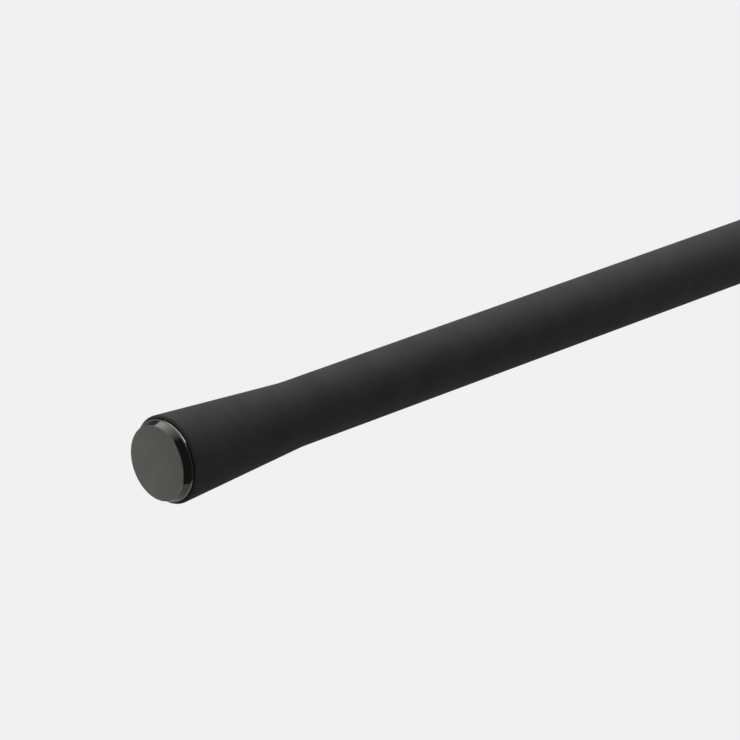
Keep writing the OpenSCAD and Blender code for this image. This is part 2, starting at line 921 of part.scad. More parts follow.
// One whipping over a foot, from the leg out to the bare blank. It is round the blank alone at
// its outer end, and its axis sinks towards the leg so that it also wraps the thicker foot.
module foot_whipping(i, leg_end, outer_end) {
    lowered = foot_thickness(guide_size(i)) / 2;
    outer_lowered = lowered / 4;
    start = min(leg_end, outer_end);
    end = max(leg_end, outer_end);
    leg_r = blank_r(leg_end) + lowered + whipping_thickness;
    outer_r = blank_r(outer_end) + outer_lowered + whipping_thickness;
    difference() {
        translate([outer_end, 0, -outer_lowered])
            rotate([0, atan((lowered - outer_lowered) / (leg_end - outer_end)), 0])
                translate([-outer_end, 0, 0])
                    whipping_sleeve(
                        start,
                        end,
                        leg_end < outer_end ? leg_r : outer_r,
                        leg_end < outer_end ? outer_r : leg_r
                    );
        core(start - 2 * through, end + 2 * through);
        guide_feet(i);
    }
}

module guide_whipping(i) {
    size = guide_size(i);
    front = guide_station(i) + front_reach(size);
    rear = guide_station(i) - rear_reach(size);
    bare = leg_thickness(size) + whipping_leg_gap;
    past = whipping_past_foot;
    color(thread_and_epoxy) {
        foot_whipping(i, front + bare, front + foot_length(size) + past);
        if (i <= two_foot_guides)
            foot_whipping(i, rear - bare, rear - foot_length(size) - past);
    }
}

// The tip ring's frame: a closed tube over the blank's end, the band, and two side braces
module tip_ring_frame() {
    join_r = (tip_ring_size + band_wall(tip_ring_size)) / 2;
    brace = 2 * small_leg_thickness;
    brace_angle = 75;
    color(steel)
        difference() {
            union() {
                bar(tip_tube_start, rod_length, tip_tube_r, tip_tube_r);
                translate([tip_ring_station, 0, -tip_ring_drop])
                    band_disc(tip_ring_size);
                for (side = [-1, 1])
                    leg(
                        [
                            tip_ring_station,
                            side * join_r * sin(brace_angle),
                            join_r * cos(brace_angle) - tip_ring_drop
                        ],
                        [tip_tube_start + brace, side * 0.3 * tip_tube_r, -0.6 * tip_tube_r],
                        brace,
                        brace,
                        small_leg_thickness
                    );
            }
            translate([0, 0, -tip_ring_drop])
                bar(
                    tip_ring_station - small_ring_thickness,
                    tip_ring_station + small_ring_thickness,
                    tip_ring_size / 2,
                    tip_ring_size / 2
                );
            tip_core(tip_tube_start - through, tip_blank_end);
        }
}

module tip_ring_insert() {
    translate([tip_ring_station, 0, -tip_ring_drop])
        ring_insert(tip_ring_size);
}

module tip_ring_whipping() {
    whipping(tip_tube_start - tip_whipping_length, tip_tube_start);
}

butt_cap();
rear_grip();
rear_collar();
seat_body();
seat_bushes();
fixed_hood_sleeve();
fixed_hood_liner();
moving_hood();
moving_hood_sleeve();
moving_hood_liner();
lock_nut();
lock_nut_ring();
fore_grip();
fore_collar();
fore_whipping();
butt_blank();
line_clip();
line_clip_whipping();
spigot();
butt_joint_whipping();
tip_blank();
tip_joint_whipping();
for (i = [1:guide_count]) {
    guide_frame(i);
    guide_ring(i);
    guide_whipping(i);
}
tip_ring_frame();
tip_ring_insert();
tip_ring_whipping();
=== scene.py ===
"""A carp rod: the finish of every piece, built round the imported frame, seen from the butt end."""
import math
from types import SimpleNamespace

import bmesh
import bpy
from mathutils import Matrix, Vector


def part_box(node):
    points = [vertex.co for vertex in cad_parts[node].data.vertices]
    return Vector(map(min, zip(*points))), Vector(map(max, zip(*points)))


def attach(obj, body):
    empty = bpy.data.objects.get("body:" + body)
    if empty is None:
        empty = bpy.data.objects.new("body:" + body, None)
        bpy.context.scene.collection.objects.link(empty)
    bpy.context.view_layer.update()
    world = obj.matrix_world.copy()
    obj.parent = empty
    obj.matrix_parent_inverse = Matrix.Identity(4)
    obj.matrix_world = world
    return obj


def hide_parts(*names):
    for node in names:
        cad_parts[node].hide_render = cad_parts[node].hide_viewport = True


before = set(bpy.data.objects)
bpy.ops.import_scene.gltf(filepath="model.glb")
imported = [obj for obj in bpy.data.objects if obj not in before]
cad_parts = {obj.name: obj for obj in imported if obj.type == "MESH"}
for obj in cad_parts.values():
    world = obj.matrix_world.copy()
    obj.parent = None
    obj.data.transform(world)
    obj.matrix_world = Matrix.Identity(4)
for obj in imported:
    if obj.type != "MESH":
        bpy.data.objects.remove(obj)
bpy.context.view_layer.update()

MM = 0.001
TURN = 2 * math.pi
# A radius in millimetres that stands for the axis itself, where a ring needs some width
AXIS_R = 1e-4
# How far in millimetres a piece reaches under what it lies on
SUNK = 0.05
# Half the width in millimetres of a sharp step in a surface
STEP_HALF = 0.01
# Angles in radians: a tolerance, the least gap between two points of a ring, and the width
# that a keyway's flank takes up
ANGLE_ERROR = 1e-6
LEAST_GAP = 0.006
FLANK = 0.008
SEAT_POINTS = 160
# Tolerances in millimetres: for sums that round off, and for the solids' points
LENGTH_ERROR = 1e-9
NEAR = 0.01

# Sizes in millimetres that the frame's boxes don't give
CAP_FACE_R = 14.7
CAP_FACE_EDGE_R = 0.35
CAP_BEVEL_R = 15.65
CAP_BEVEL_DEPTH = 3.35
CAP_LIP_START = 3.5
CAP_LIP_END = 4.4
CAP_GROOVE_R = 14.6
CAP_STEM_DEPTH = 1.45
FLARE_R = 17.3
FLARE_LENGTH = 64
FLARE_BLEND_R = 90
FOAM_EDGE_R = 1.1
GRIP_R = 13
FORE_FRONT_R = 11
BARREL_R = 10.8
BARREL_FLAT_Z = -9.8
SEAT_BORE_R = 9
KEYWAY_HALF = 1.5
KEYWAY_DEPTH = 1
BARREL_WALL = 0.9
THREAD_PITCH = 2.5
THREAD_LENGTH = 54
RELIEF_WIDTH = 2
RELIEF_DEPTH = 0.6
POCKET_R = 13.2
POCKET_DROP = 2.6
POCKET_DEPTH = 14
LINER_THICKNESS = 0.8
HOOD_R = 14.9
HOOD_END_R = 13
HOOD_LIP_R = 0.6
HOOD_STRAIGHT_END = 1.5
FIXED_FLOOR = 2
MOVING_FLOOR = 1
RUNNING_R = 10.85
RIM_R = 12.15
RIM_LENGTH = 1.5
NECK_R = 11.65
NECK_LENGTH = 1.9
KEY_HALF = 1.3
KEY_Z = 10
SNAP_GAP = 0.2
NUT_R = 13.5
NUT_LENGTH = 19
NUT_RING_LENGTH = 2.6
NUT_RING_SEAT_R = 12.5
NUT_FLUTES = 20
FLUTE_R = 1.5
FLUTE_DEPTH = 0.5
FLUTE_MARGIN = 2
SPIGOT_R = 4.3
SOCKET_R = 4.33
WRAP = 0.4
WRAP_RUN = 4 * WRAP
WRAP_EDGE = 0.2
CLIP_THICKNESS = 0.45
CLIP_LIFT = 1.1
TIP_TUBE_LENGTH = 14
TIP_TUBE_R = 1.75
TIP_TUBE_FLOOR = 1
TIP_RING_SIZE = 12
GUIDE_SIZES = (50, 40, 30, 20, 16, 12)
TWO_FOOTED = 3
BAND_SHARE = 0.75
# Pairs: for the smallest guide and for the largest
BAND_WALL = (0.9, 1.3)
LEG_WIDTH = (1.4, 3.4)
LEG_THICKNESS = (0.7, 1)
FOOT_WIDTH = (1.8, 4)
FOOT_THICKNESS = (0.9, 1.6)
FOOT_LENGTH = (10, 21)
RING_WALL = (2.1, 3.9)
FOOT_TOE = 0.35
FOOT_END = 1.2


def box_mm(node):
    """A CAD node's lowest and highest corners in millimetres."""
    low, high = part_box(node)
    return low / MM, high / MM


def end_radius(node, x):
    """The outer radius in millimetres of a CAD node on the rod's axis, at its end x."""
    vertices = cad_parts[node].data.vertices
    return max(
        math.hypot(v.co.y, v.co.z) for v in vertices if abs(v.co.x - x * MM) < NEAR * MM
    ) / MM


def taper(node):
    """The outer radius of a tapered tube as a function of the place along the rod."""
    low, high = box_mm(node)
    start, end = end_radius(node, low.x), end_radius(node, high.x)
    return lambda x: start + (end - start) * (x - low.x) / (high.x - low.x)


butt_r = taper("butt_blank")
tip_r = taper("tip_blank")
JOINT_X = (box_mm("butt_blank")[1].x + box_mm("tip_blank")[0].x) / 2


def blank_r(x):
    """The blank's outer radius in millimetres at x."""
    return butt_r(x) if x < JOINT_X else tip_r(x)


# Outlines and meshes


def smooth(t):
    """A soft step from 0 to 1, level at both ends."""
    t = min(1, max(0, t))
    return t * t * (3 - 2 * t)


def rounded(corners, steps=6):
    """An outline of (x, r) whose corners (x, r, radius) are rounded with arcs."""
    made = []
    for k, corner in enumerate(corners):
        at = Vector(corner[:2])
        radius = corner[2] if len(corner) > 2 else 0
        if not radius:
            made.append(tuple(at))
            continue
        before = Vector(corners[k - 1][:2])
        after = Vector(corners[(k + 1) % len(corners)][:2])
        u, v = (before - at).normalized(), (after - at).normalized()
        half = u.angle(v) / 2
        centre = at + (u + v).normalized() * radius / math.sin(half)
        first = at + u * radius / math.tan(half) - centre
        last = at + v * radius / math.tan(half) - centre
        start = math.atan2(first.y, first.x)
        sweep = (math.atan2(last.y, last.x) - start + 3 * math.pi) % TURN - math.pi
        for step in range(steps + 1):
            a = start + sweep * step / steps
            made.append((centre.x + radius * math.cos(a), centre.y + radius * math.sin(a)))
    return made


def even_angles(count):
    """Angles in radians that part a turn evenly."""
    return [TURN * k / count for k in range(count)]


def ring(x, radius, angles, drop=0.0):
    """Points in metres round the rod's axis. radius is a number or a function of x and the
    angle from straight up, and drop is how far the ring's centre lies below the axis."""
    points = []
    for a in angles:
        r = radius(x, a) if callable(radius) else radius
        points.append((x * MM, r * math.sin(a) * MM, (r * math.cos(a) - drop) * MM))
    return points


def stack(rings, closed=False):
    """Vertices and faces of rings joined in order. A closed stack joins its last ring to its
    first, and an open one has both ends filled."""
    count = len(rings[0])
    vertices = [p for points in rings for p in points]
    faces = []
    spans = len(rings) if closed else len(rings) - 1
    for k in range(spans):
        here, there = k * count, (k + 1) % len(rings) * count
        for j in range(count):
            n = (j + 1) % count
            faces.append((here + j, here + n, there + n, there + j))
    if not closed:
        faces.append(tuple(range(count)))
        faces.append(tuple(range(len(vertices) - count, len(vertices))))
    return vertices, faces


def merged(parts):
    """Several (vertices, faces) as one."""
    vertices, faces = [], []
    for part_vertices, part_faces in parts:
        base = len(vertices)
        vertices += part_vertices
        faces += [tuple(base + i for i in face) for face in part_faces]
    return vertices, faces


def mesh_object(name, shape):
    """An object in the scene with the mesh of a shape, which is (vertices, faces)."""
    vertices, faces = shape
    mesh = bpy.data.meshes.new(name)
    mesh.from_pydata(vertices, [], faces)
    made = bpy.data.objects.new(name, mesh)
    bpy.context.scene.collection.objects.link(made)
    return made


def piece(name, shape, body, finish, node, sharp=30):
    """A shaded object that rides on a body and stands for a CAD node. Its edges that bend by
    more than sharp degrees stay sharp."""
    made = mesh_object(name, shape)
    mesh = made.data
    fix_normals(mesh)
    mesh.polygons.foreach_set("use_smooth", [True] * len(mesh.polygons))
    mesh.set_sharp_from_angle(angle=math.radians(sharp))
    mesh.materials.append(finish.material)
    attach(made, body)
    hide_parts(node)
    return made


def fix_normals(mesh):
    """Joins points that coincide and turns every face outwards."""
    edit = bmesh.new()
    edit.from_mesh(mesh)
    bmesh.ops.remove_doubles(edit, verts=edit.verts, dist=1e-7)
    bmesh.ops.recalc_face_normals(edit, faces=edit.faces)
    edit.to_mesh(mesh)
    edit.free()


def lathe(outline, count, closed=False, drop=0.0):
    """A turned shape from an outline of (x, radius) in millimetres. A closed outline goes round
    a bore, and an open one runs from axis to axis."""
    angles = even_angles(count)
    if not closed:
        outline = [(x, max(r, AXIS_R)) for x, r in outline]
    return stack([ring(x, r, angles, drop) for x, r in outline], closed)


def paint_faces(made, finish, chosen):
    """Gives the faces of a piece for which chosen(centre in millimetres) is true a finish."""
    made.data.materials.append(finish.material)
    index = len(made.data.materials) - 1
    for face in made.data.polygons:
        if chosen(face.center / MM):
            face.material_index = index


# Materials


class Finish:
    """A material with short calls for its nodes, and the name of its slot."""

    def __init__(self, name, slot=None):
        self.slot = slot
        self.material = bpy.data.materials.new(name)
        self.material.use_nodes = True
        self.tree = self.material.node_tree
        self.shader = self.tree.nodes["Principled BSDF"]
        self.place = self.add("ShaderNodeTexCoord").outputs["Object"]

    def add(self, kind, **settings):
        made = self.tree.nodes.new(kind)
        for key, value in settings.items():
            setattr(made, key, value)
        return made

    def link(self, source, target):
        self.tree.links.new(source, target)

    def set(self, **sockets):
        """Values for the shader's own sockets, named with _ for each space."""
        for key, value in sockets.items():
            self.shader.inputs[key.replace("_", " ")].default_value = value

    def noise(self, size, detail=2.0, stretch=None):
        """Noise whose features are about size millimetres across."""
        made = self.add("ShaderNodeTexNoise")
        made.inputs["Scale"].default_value = 1 / (size * MM)
        made.inputs["Detail"].default_value = detail
        self.link(self.stretched(stretch), made.inputs["Vector"])
        return made.outputs["Fac"]

    def cells(self, size):
        """The distance from the middle of cells about size millimetres across."""
        made = self.add("ShaderNodeTexVoronoi")
        made.inputs["Scale"].default_value = 1 / (size * MM)
        self.link(self.place, made.inputs["Vector"])
        return made.outputs["Distance"]

    def stretched(self, stretch):
        """The place on the rod, scaled along each axis."""
        if stretch is None:
            return self.place
        made = self.add("ShaderNodeMapping")
        made.inputs["Scale"].default_value = stretch
        self.link(self.place, made.inputs["Vector"])
        return made.outputs["Vector"]

    def ramp(self, value, low, high, to_low, to_high):
        """value from low to high becomes to_low to to_high."""
        made = self.add("ShaderNodeMapRange")
        for key, number in (
            ("From Min", low), ("From Max", high), ("To Min", to_low), ("To Max", to_high)
        ):
            made.inputs[key].default_value = number
        self.link(value, made.inputs["Value"])
        return made.outputs["Result"]

    def spread(self, noise, low=0.3, high=0.7):
        """A noise, most of which lies from low to high, spread from 0 to 1."""
        return self.ramp(noise, low, high, 0, 1)

    def shades(self, noise, base, less, more):
        """A base colour that a noise makes less to more times as bright."""
        dark, light = (tuple(c * share for c in base) for share in (less, more))
        self.colours(self.spread(noise), dark, light)

    def roughness(self, value, least, most, low=0.3, high=0.7):
        """value from low to high makes the surface's roughness least to most."""
        self.link(self.ramp(value, low, high, least, most), self.shader.inputs["Roughness"])

    def math(self, operation, a, b=None):
        """What an operation makes of one or two numbers or sockets."""
        made = self.add("ShaderNodeMath", operation=operation)
        for socket, value in zip(made.inputs, (a, b)):
            if value is None:
                continue
            if isinstance(value, (int, float)):
                socket.default_value = value
            else:
                self.link(value, socket)
        return made.outputs["Value"]

    def colours(self, factor, dark, light):
        """A mix from dark to light as the base colour."""
        made = self.add("ShaderNodeMix", data_type="RGBA")
        made.inputs["A"].default_value = (*dark, 1)
        made.inputs["B"].default_value = (*light, 1)
        self.link(factor, made.inputs["Factor"])
        self.link(made.outputs["Result"], self.shader.inputs["Base Color"])

    def bump(self, height, depth, strength=1.0, over=None):
        """height from 0 to 1 raises the surface by depth millimetres, over another bump."""
        made = self.add("ShaderNodeBump")
        made.inputs["Distance"].default_value = depth * MM
        made.inputs["Strength"].default_value = strength
        self.link(height, made.inputs["Height"])
        if over is not None:
            self.link(over, made.inputs["Normal"])
        self.link(made.outputs["Normal"], self.shader.inputs["Normal"])
        return made.outputs["Normal"]

    def axes(self):
        """The place along the rod, to its side and above its axis, in metres."""
        made = self.add("ShaderNodeSeparateXYZ")
        self.link(self.place, made.inputs["Vector"])
        return made.outputs["X"], made.outputs["Y"], made.outputs["Z"]

    def radius(self):
        """The distance from the rod's axis in metres."""
        _, y, z = self.axes()
        square = self.math("ADD", self.math("MULTIPLY", y, y), self.math("MULTIPLY", z, z))
        return self.math("SQRT", square)

    def wave(self, phase):
        """A sine from 0 to 1 of a phase in turns."""
        sine = self.math("SINE", self.math("MULTIPLY", phase, TURN))
        return self.math("ADD", self.math("MULTIPLY", sine, 0.5), 0.5)

    def helix(self, pitch):
        """A wave from 0 to 1 that winds round the rod with a pitch in millimetres."""
        x, y, z = self.axes()
        along = self.math("DIVIDE", x, pitch * MM)
        turns = self.math("DIVIDE", self.math("ARCTAN2", y, z), TURN)
        return self.wave(self.math("ADD", along, turns))

    def surface(self, source):
        """Makes a shader the surface in place of the one that the material began with."""
        self.link(source, self.tree.nodes["Material Output"].inputs["Surface"])


def foam():
    """Matt closed-cell foam: fine pores, soft hollows and a faint cloud of lighter foam."""
    f = Finish("eva_foam", "foam")
    pores = f.spread(f.cells(0.5), 0.1, 0.6)
    grain = f.noise(0.9, 3)
    cloud = f.noise(14, 3)
    mixed = f.math("ADD", f.math("MULTIPLY", grain, 0.5), f.math("MULTIPLY", cloud, 0.5))
    f.colours(f.spread(mixed, 0.36, 0.64), (0.034, 0.034, 0.035), (0.050, 0.050, 0.050))
    f.roughness(grain, 0.72, 0.92)
    hollows = f.bump(f.noise(5, 3), 0.16)
    f.bump(pores, 0.03, 0.8, hollows)
    f.set(Specular_IOR_Level=0.08, Sheen_Weight=0.06, Sheen_Roughness=0.5)
    return f


def satin_metal():
    """Anodised metal with fine turning marks that run round the rod's axis."""
    f = Finish("satin_gunmetal", "gunmetal")
    pitch = 0.16
    f.shades(f.noise(9, 3), (0.103, 0.105, 0.096), 0.94, 1.05)
    f.roughness(f.noise(pitch, 2, (0.02, 1, 1)), 0.30, 0.42)
    f.bump(f.wave(f.math("DIVIDE", f.radius(), pitch * MM)), 0.004)
    f.set(Metallic=1.0)
    return f


def polished_metal():
    """Polished metal with faint marks along the turning direction and slight smudges."""
    f = Finish("polished_gunmetal", "gunmetal")
    smudge = f.noise(6, 3)
    f.shades(smudge, (0.125, 0.127, 0.118), 0.95, 1.05)
    f.roughness(smudge, 0.06, 0.13, 0.35, 0.75)
    f.bump(f.noise(0.25, 1, (1, 0.02, 0.02)), 0.004, 0.5)
    f.set(Metallic=1.0)
    return f


def nylon():
    """Glass-filled nylon with a fine spark-eroded grain."""
    f = Finish("moulded_nylon", "nylon")
    grain = f.noise(0.22, 2)
    cloud = f.noise(11, 2)
    f.colours(f.spread(cloud), (0.0125, 0.0125, 0.013), (0.018, 0.018, 0.019))
    f.roughness(grain, 0.38, 0.55)
    f.bump(grain, 0.012, 0.7)
    f.set(Specular_IOR_Level=0.3)
    return f


def rubber():
    """The dull rubber of the pads in the hoods."""
    f = Finish("liner_rubber", "rubber")
    grain = f.noise(0.35, 2)
    f.colours(grain, (0.011, 0.011, 0.011), (0.02, 0.02, 0.02))
    f.roughness(grain, 0.7, 0.9)
    f.bump(grain, 0.02, 0.6)
    return f


def carbon():
    """A satin blank: the carbon cloth shows faintly, with the ridges that the wrapping tape
    leaves as a shallow helix."""
    f = Finish("carbon_blank", "carbon")
    tape = f.helix(2.6)
    fibres = f.noise(0.12, 2, (0.015, 1, 1))
    f.colours(f.spread(fibres, 0.35, 0.65), (0.0085, 0.0085, 0.0095), (0.017, 0.017, 0.0185))
    f.roughness(tape, 0.34, 0.44, 0, 1)
    f.bump(tape, 0.012, 0.6)
    f.set(Specular_IOR_Level=0.22)
    return f


def ground_carbon():
    """Bare carbon ground to size, with faint marks round it."""
    f = Finish("ground_carbon", "carbon")
    marks = f.noise(0.14, 2, (1, 0.05, 0.05))
    cloud = f.noise(7, 2)
    f.colours(f.spread(cloud), (0.02, 0.02, 0.021), (0.034, 0.034, 0.036))
    f.roughness(marks, 0.4, 0.58)
    f.bump(marks, 0.004, 0.6)
    return f


def whipping_thread():
    """Fine thread laid in a helix under a clear epoxy coat."""
    f = Finish("thread_under_epoxy", "epoxy")
    thread = f.helix(0.2)
    fleck = f.noise(0.5, 2, (1, 0.25, 0.25))
    shade = f.math("MULTIPLY", thread, f.ramp(fleck, 0.3, 0.7, 0.6, 1))
    f.colours(shade, (0.006, 0.006, 0.007), (0.019, 0.019, 0.022))
    f.bump(thread, 0.03, 0.8)
    f.roughness(fleck, 0.3, 0.45)
    f.set(Specular_IOR_Level=0.15, Coat_Weight=0.35, Coat_Roughness=0.06, Coat_IOR=1.5)
    return f


def ceramic():
    """The polished rings that the line runs through."""
    f = Finish("polished_ceramic", "ceramic")
    cloud = f.noise(1.4, 3)
    f.colours(f.spread(cloud), (0.028, 0.029, 0.033), (0.041, 0.043, 0.049))
    f.roughness(cloud, 0.08, 0.15)
    f.set(Specular_IOR_Level=0.5)
    return f


def smoked_steel():
    """The dark plated steel of the guides' frames and the line clip."""
    f = Finish("smoked_steel", "steel")
    grain = f.noise(0.3, 2, (0.2, 1, 1))
    cloud = f.noise(5, 2)
    f.colours(f.spread(cloud), (0.115, 0.115, 0.12), (0.15, 0.15, 0.156))
    f.roughness(grain, 0.14, 0.27)
    f.bump(grain, 0.003, 0.5)
    f.set(Metallic=1.0)
    return f


def bush_foam():
    """The tan foam of the bushes inside the reel seat."""
    f = Finish("bush_foam")
    cells = f.cells(0.8)
    f.colours(cells, (0.34, 0.27, 0.17), (0.2, 0.15, 0.09))
    f.roughness(cells, 0.75, 0.95, 0, 0.6)
    f.bump(cells, 0.08, 0.8)
    return f


FOAM = foam()
SATIN_METAL = satin_metal()
POLISHED_METAL = polished_metal()
NYLON = nylon()
RUBBER = rubber()
CARBON = carbon()
THREAD = whipping_thread()
CERAMIC = ceramic()
STEEL = smoked_steel()
BUSH = bush_foam()
GROUND_CARBON = ground_carbon()


# Butt section


def make_cap():
    """The turned cap, polished on its bevel and lip, with its stem in the blank."""
    seat = box_mm("rear_grip")[0].x
    high = box_mm("butt_cap")[1]
    stem_end, lip_r = high.x, high.z
    stem_r = butt_r(seat) - CAP_STEM_DEPTH
    shape = lathe(rounded([
        (0, 0),
        (0, CAP_FACE_R, CAP_FACE_EDGE_R),
        (CAP_BEVEL_DEPTH, CAP_BEVEL_R, 0.1),
        (CAP_LIP_START, lip_r, 0.12),
        (CAP_LIP_END, lip_r, 0.15),
        (CAP_LIP_END, CAP_GROOVE_R),
        (seat, CAP_GROOVE_R),
        (seat, stem_r),
        (stem_end, stem_r, 1),
        (stem_end, 0),
    ]), 256)
    cap = piece("butt_cap_turned", shape, "butt_section", POLISHED_METAL, "butt_cap", sharp=20)
    paint_faces(cap, SATIN_METAL, lambda c: c.x < NEAR or c.x > CAP_LIP_END - NEAR)


def make_grips():
    """Both foam grips, bored to the blank's taper."""
    arc_steps = 16
    low, high = box_mm("rear_grip")
    rear = rounded([
        (low.x, blank_r(low.x)),
        (low.x, FLARE_R, FOAM_EDGE_R),
        (low.x + FLARE_LENGTH, GRIP_R, FLARE_BLEND_R),
        (high.x, GRIP_R, FOAM_EDGE_R / 2),
        (high.x, blank_r(high.x)),
    ], arc_steps)
    shape = lathe(rear, 192, closed=True)
    piece("rear_grip_foam", shape, "butt_section", FOAM, "rear_grip", sharp=40)
    low, high = box_mm("fore_grip")
    shoulder = low.x + (high.x - low.x) / 3
    front = rounded([
        (low.x, blank_r(low.x)),
        (low.x, GRIP_R, FOAM_EDGE_R / 2),
        (shoulder, GRIP_R, FLARE_BLEND_R),
        (high.x, FORE_FRONT_R, 3 * FOAM_EDGE_R),
        (high.x, blank_r(high.x)),
    ], arc_steps)
    shape = lathe(front, 160, closed=True)
    piece("fore_grip_foam", shape, "butt_section", FOAM, "fore_grip", sharp=40)


def make_collars():
    """The metal collar behind the seat and the winding check in front of the fore grip."""
    low, high = box_mm("rear_collar")
    waist = GRIP_R - 0.6

    def along(share):
        return low.x + (high.x - low.x) * share

    rear = rounded([
        (low.x, blank_r(low.x)),
        (low.x, GRIP_R, 0.3),
        (along(0.33), GRIP_R, 0.3),
        (along(0.47), waist, 0.3),
        (along(0.77), waist, 0.3),
        (high.x, BARREL_R + 0.8, 0.2),
        (high.x, blank_r(high.x)),
    ])
    shape = lathe(rear, 160, closed=True)
    piece("rear_collar_turned", shape, "butt_section", POLISHED_METAL, "rear_collar", sharp=25)
    low, high = box_mm("fore_collar")
    nose = blank_r(high.x) + WRAP + 0.3
    fore = rounded([
        (low.x, blank_r(low.x)),
        (low.x, high.z, 0.3),
        (along(1 / 3), high.z, 0.6),
        (high.x, nose, 0.15),
        (high.x, blank_r(high.x)),
    ])
    shape = lathe(fore, 160, closed=True)
    piece("fore_collar_turned", shape, "butt_section", POLISHED_METAL, "fore_collar", sharp=25)


def make_butt_blank():
    """The butt section's tube, and the spigot in its end."""
    low, high = box_mm("butt_blank")
    wall = 1.3
    outline = rounded([
        (low.x, butt_r(low.x) - wall),
        (low.x, butt_r(low.x)),
        (high.x, butt_r(high.x), 0.2),
        (high.x, SPIGOT_R),
        (box_mm("spigot")[0].x, SPIGOT_R),
    ])
    shape = lathe(outline, 96, closed=True)
    piece("butt_blank_tube", shape, "butt_section", CARBON, "butt_blank")
    low, high = box_mm("spigot")
    shape = lathe(rounded([
        (low.x, 0), (low.x, SPIGOT_R), (high.x, SPIGOT_R, 1), (high.x, 0)
    ]), 96)
    piece("spigot_ground", shape, "butt_section", GROUND_CARBON, "spigot")


# Reel seat


def even_and(edges):
    """Even angles and edges in order, without the even ones that lie too close to an edge."""
    kept = [a for a in even_angles(SEAT_POINTS) if all(abs(a - e) > LEAST_GAP for e in edges)]
    return sorted(kept + edges)


def seat_angles():
    """Angles round the barrel with the keyway's and the flat's edges among them."""
    edges = []
    key = math.asin(KEYWAY_HALF / BARREL_R)
    flat = math.acos(-BARREL_FLAT_Z / BARREL_R)
    for a in (key, key + FLANK, math.pi - flat):
        edges += [a, TURN - a]
    return even_and(edges)


def thread_height(x, a, start):
    """0 at the root and 1 at the crest of a thread with flat crests and roots."""
    phase = ((x - start) / THREAD_PITCH - a / TURN) % 1
    swing = abs(phase - 0.5) * 2
    return smooth((swing - 0.25) / 0.5)


def make_seat():
    """The threaded barrel, with its keyway and foot flat, and the fixed hood."""
    low, high = box_mm("seat_body")
    mouth = box_mm("fixed_hood_liner")[0].x
    thread_end = low.x + THREAD_LENGTH
    relief_end = thread_end + RELIEF_WIDTH
    flat_end = mouth + POCKET_DEPTH

    def surface(x, a):
        r = BARREL_R
        if x < thread_end:
            r -= RELIEF_DEPTH * (1 - thread_height(x, a, low.x))
        elif x < relief_end:
            r -= RELIEF_DEPTH
        side = min(a, TURN - a)
        if side < math.asin(KEYWAY_HALF / BARREL_R) + ANGLE_ERROR and x < mouth:
            r = min(r, (BARREL_R - KEYWAY_DEPTH) / math.cos(a))
        if math.cos(a) < 0 and x < flat_end:
            r = min(r, BARREL_FLAT_Z / math.cos(a))
        return r

    angles = seat_angles()
    rings_a_turn = 15
    step = THREAD_PITCH / rings_a_turn
    places = [low.x + step * k for k in range(round(THREAD_LENGTH / step))]
    for edge in (thread_end, relief_end, mouth, flat_end):
        places += [edge - STEP_HALF, edge + STEP_HALF]
    places = sorted(places) + [high.x]
    rings = [ring(x, surface, angles) for x in places]
    rings += [ring(x, SEAT_BORE_R, angles) for x in (high.x, low.x)]
    shapes = [stack(rings, closed=True)]

    shoulder = flat_end + FIXED_FLOOR
    even = even_angles(SEAT_POINTS)
    rings = hood_rings(mouth, shoulder, high.x, even)
    inside = BARREL_R - BARREL_WALL
    rings += [ring(high.x, inside, even), ring(flat_end, inside, even)]
    rings += pocket_rings(flat_end, mouth, even, 0)
    shapes.append(stack(rings, closed=True))
    piece("seat_body_moulded", merged(shapes), "butt_section", NYLON, "seat_body")


def hood_rings(mouth, shoulder, far, angles):
    """Rings over a hood's outside, from its rounded mouth over the pocket, whose centre lies
    below the rod's axis, to the shoulder and down to its far end on the axis."""
    way = 1 if far > mouth else -1
    rings = []
    steps = 6
    for k in range(steps + 1):
        a = math.pi / 2 * k / steps
        x = mouth + way * HOOD_LIP_R * (1 - math.cos(a))
        rings.append(ring(x, HOOD_R - HOOD_LIP_R * (1 - math.sin(a)), angles, POCKET_DROP))
    rings.append(ring(shoulder - way * HOOD_STRAIGHT_END, HOOD_R, angles, POCKET_DROP))
    steps = 14
    for k in range(steps + 1):
        t = k / steps
        # Level at the shoulder, and sloping at the far end
        share = t * t * (1.6 - 0.6 * t)
        r = HOOD_R + (HOOD_END_R - HOOD_R) * share
        rings.append(ring(shoulder + (far - shoulder) * t, r, angles, POCKET_DROP * (1 - share)))
    return rings


def pocket_rings(floor, mouth, angles, least):
    """Rings in a hood's pocket, from its floor to its mouth, where the wall flares a little.
    least is the smallest radius from the rod's axis."""
    way = 1 if mouth > floor else -1

    def wall(spread):
        def radius(x, a):
            r = POCKET_R + spread
            side = POCKET_DROP * math.sin(a)
            return max(least, math.sqrt(r * r - side * side) - POCKET_DROP * math.cos(a))
        return radius

    # Places along the rod, and how far the wall has spread there
    places = [(floor, 0), (mouth - way * 0.5, 0), (mouth - way * 0.2, 0.08), (mouth, 0.35)]
    return [ring(x, wall(spread), angles) for x, spread in places]


